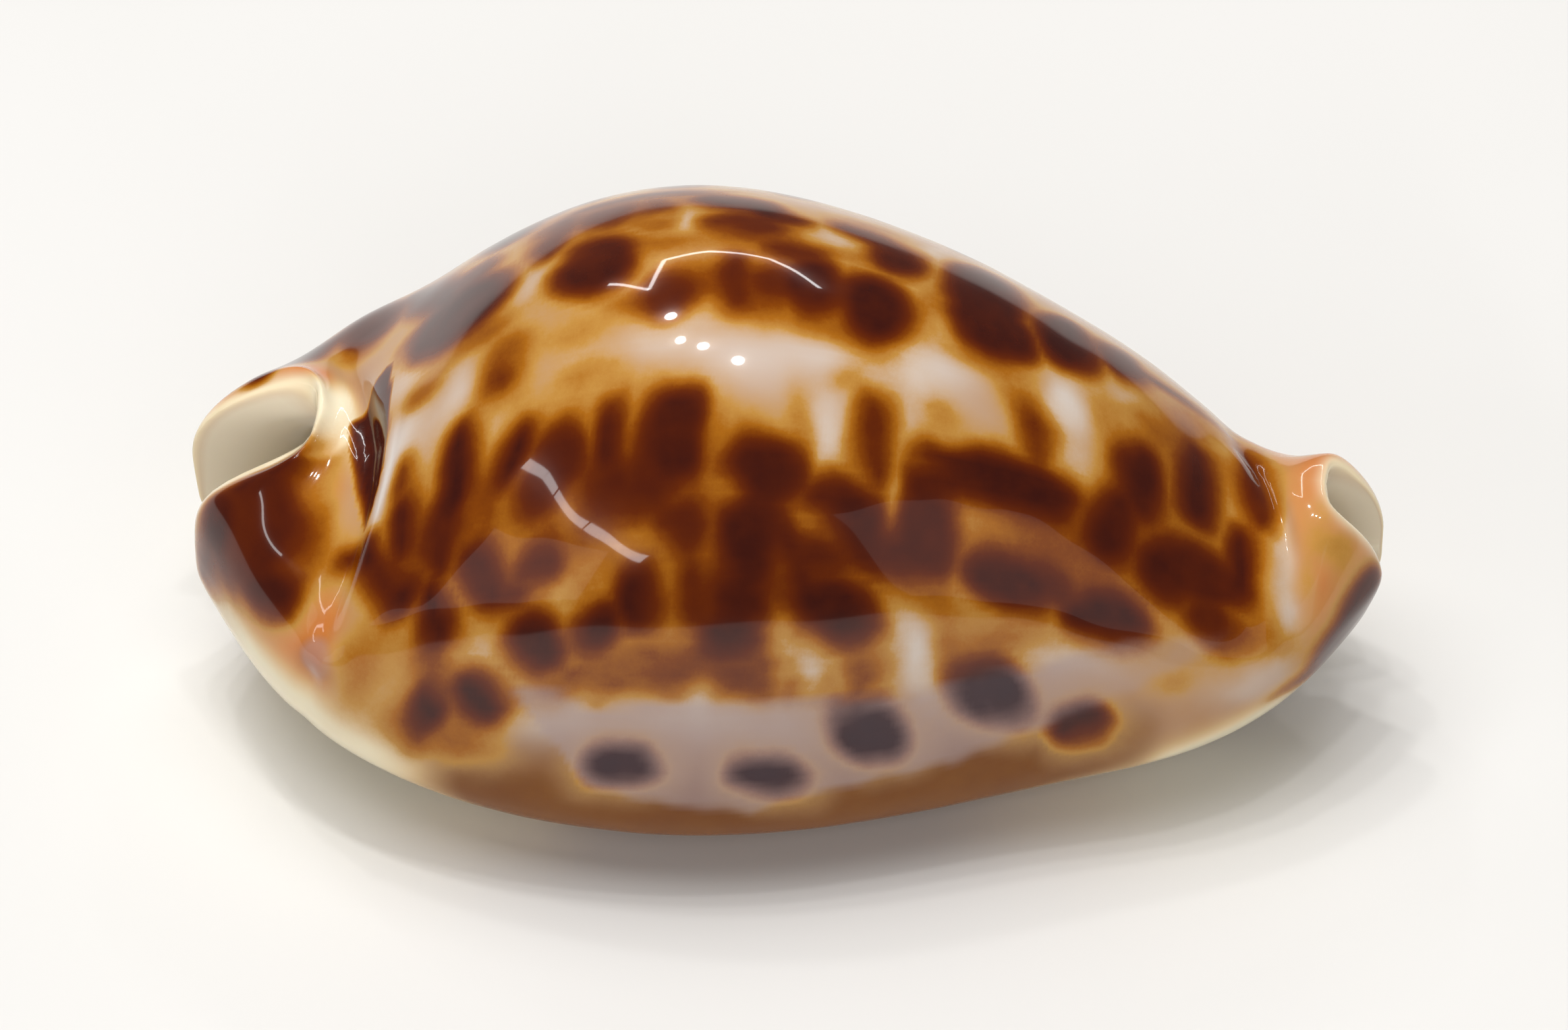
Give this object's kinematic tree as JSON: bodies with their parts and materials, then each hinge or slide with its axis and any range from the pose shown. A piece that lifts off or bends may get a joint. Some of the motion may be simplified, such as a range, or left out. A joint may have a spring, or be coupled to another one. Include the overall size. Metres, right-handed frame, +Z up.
{
  "type": "cowry shell",
  "caption": "Glossy hollow egg-shaped sea snail shell with a toothed slit along its base and a notched canal at each end.",
  "frame": {"origin": "bottom centre of the shell's box, on the surface that it rests on", "axes": "+Z up through the domed back, +X along the length towards the narrow front canal, +Y towards the columellar (inner lip) side"},
  "size_m": [0.0805, 0.045, 0.0372],
  "materials": {
    "glazed_shell": "glassy natural enamel, cream to amber with dark brown blotches"
  },
  "bodies": {
    "root": {"cowry_shell": "glazed_shell"}
  },
  "joints": []
}
